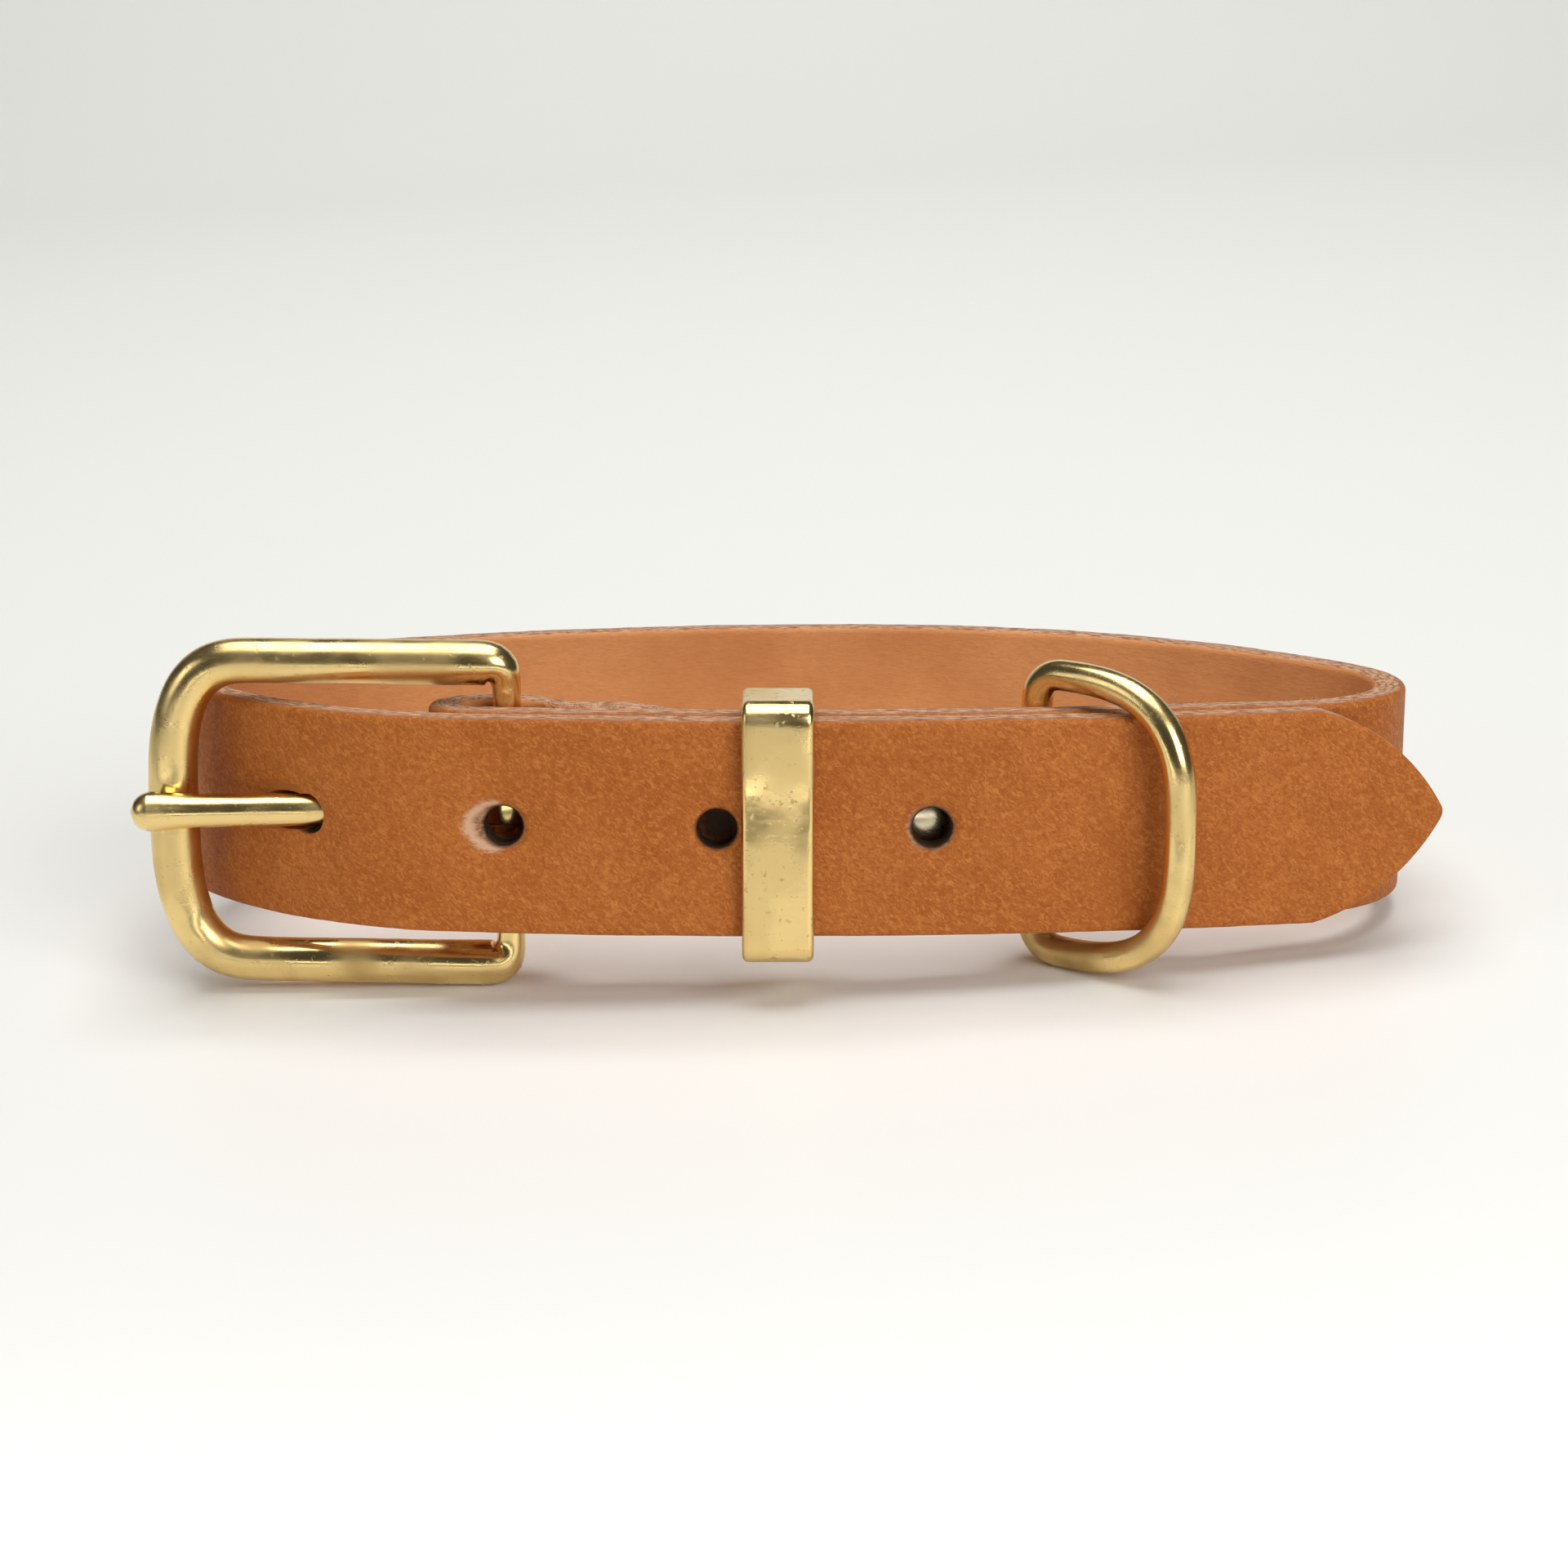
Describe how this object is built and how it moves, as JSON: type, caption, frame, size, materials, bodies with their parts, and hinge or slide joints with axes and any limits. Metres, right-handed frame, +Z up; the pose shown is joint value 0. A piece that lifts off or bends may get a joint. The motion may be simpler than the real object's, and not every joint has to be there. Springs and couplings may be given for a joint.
{
  "type": "pet collar",
  "caption": "Flat leather strap buckled into an oval loop, with a brass buckle and tongue, a keeper, a swinging D-ring, hidden rivets and a pointed free end.",
  "frame": {"origin": "middle of the collar's box, on the surface it stands on", "axes": "+X to the right along the front and the loop's long way, -Y the front with the buckle, +Z up"},
  "size_m": [0.1212, 0.0584, 0.0335],
  "materials": {
    "leather": "smooth tan grain side, pale raw edges",
    "cast_brass": "polished, slightly tarnished",
    "tongue_brass": "polished",
    "keeper_brass": "polished over a pitted surface",
    "ring_brass": "polished, tarnished below",
    "rivet_brass": "polished"
  },
  "bodies": {
    "collar": {"strap": "leather", "buckle_frame": "cast_brass", "tongue": "tongue_brass", "keeper": "keeper_brass", "rivet_heel": "rivet_brass", "rivet_middle": "rivet_brass", "rivet_end": "rivet_brass"},
    "ring": {"d_ring": "ring_brass"}
  },
  "joints": [
    {"name": "d_ring_swing", "type": "hinge", "parent": "collar", "child": "ring", "pos_m": [0.02286, -0.01681, 0.01432], "axis": [-0.0468, -0.1052, -0.9933], "range_deg": [0, 85]}
  ]
}
